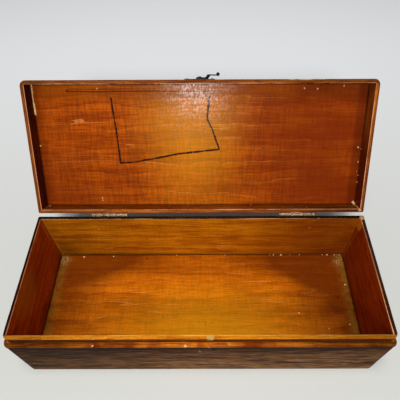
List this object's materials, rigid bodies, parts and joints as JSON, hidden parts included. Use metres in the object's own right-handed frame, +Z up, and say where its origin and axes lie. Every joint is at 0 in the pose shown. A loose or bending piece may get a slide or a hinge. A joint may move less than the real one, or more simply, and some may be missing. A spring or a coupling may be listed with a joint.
{
  "type": "hinged wooden pen case",
  "caption": "Old shallow-lidded wooden box for pens, veneered outside, with a moulded rim, two small butt hinges and a swing-hook latch, standing open and empty",
  "frame": {"origin": "centre of the base's underside, on the table", "axes": "+X right along the box's length, +Y back towards the hinges, +Z up"},
  "size_m": [0.2398, 0.1645, 0.1306],
  "materials": {
    "box_wood": "old shellac, worn bare at the inner edges",
    "dark_veneer": "dark, dull varnish",
    "old_brass": "tarnished",
    "black_iron": "black, worn"
  },
  "bodies": {
    "base": {"base_front_board": "box_wood", "base_back_board": "box_wood", "base_left_board": "box_wood", "base_right_board": "box_wood", "base_bottom_board": "box_wood", "base_front_veneer": "dark_veneer", "base_back_veneer": "dark_veneer", "base_left_veneer": "dark_veneer", "base_right_veneer": "dark_veneer", "left_hinge_base_leaf": "old_brass", "right_hinge_base_leaf": "old_brass", "left_hinge_pin": "old_brass", "right_hinge_pin": "old_brass", "hinge_base_nails": "old_brass", "catch_pin": "old_brass"},
    "lid": {"lid_front_rail": "box_wood", "lid_back_rail": "box_wood", "lid_left_rail": "box_wood", "lid_right_rail": "box_wood", "lid_panel": "box_wood", "lid_top_veneer": "dark_veneer", "lid_front_veneer": "dark_veneer", "lid_back_veneer": "dark_veneer", "lid_left_veneer": "dark_veneer", "lid_right_veneer": "dark_veneer", "left_hinge_lid_leaf": "old_brass", "right_hinge_lid_leaf": "old_brass", "hinge_lid_nails": "old_brass", "latch_plate": "black_iron", "latch_plate_nails": "black_iron", "latch_rivet": "black_iron"},
    "hook": {"latch_hook": "black_iron"}
  },
  "joints": [
    {"name": "lid_hinge", "type": "hinge", "parent": "base", "child": "lid", "pos_m": [0, 0.0467, 0.0546], "axis": [1, 0, 0], "range_deg": [-55, 125]},
    {"name": "hook_swing", "type": "hinge", "parent": "lid", "child": "hook", "pos_m": [0, 0.1022, 0.12811], "axis": [0, 0.5736, 0.8192], "range_deg": [-134, 211]}
  ]
}
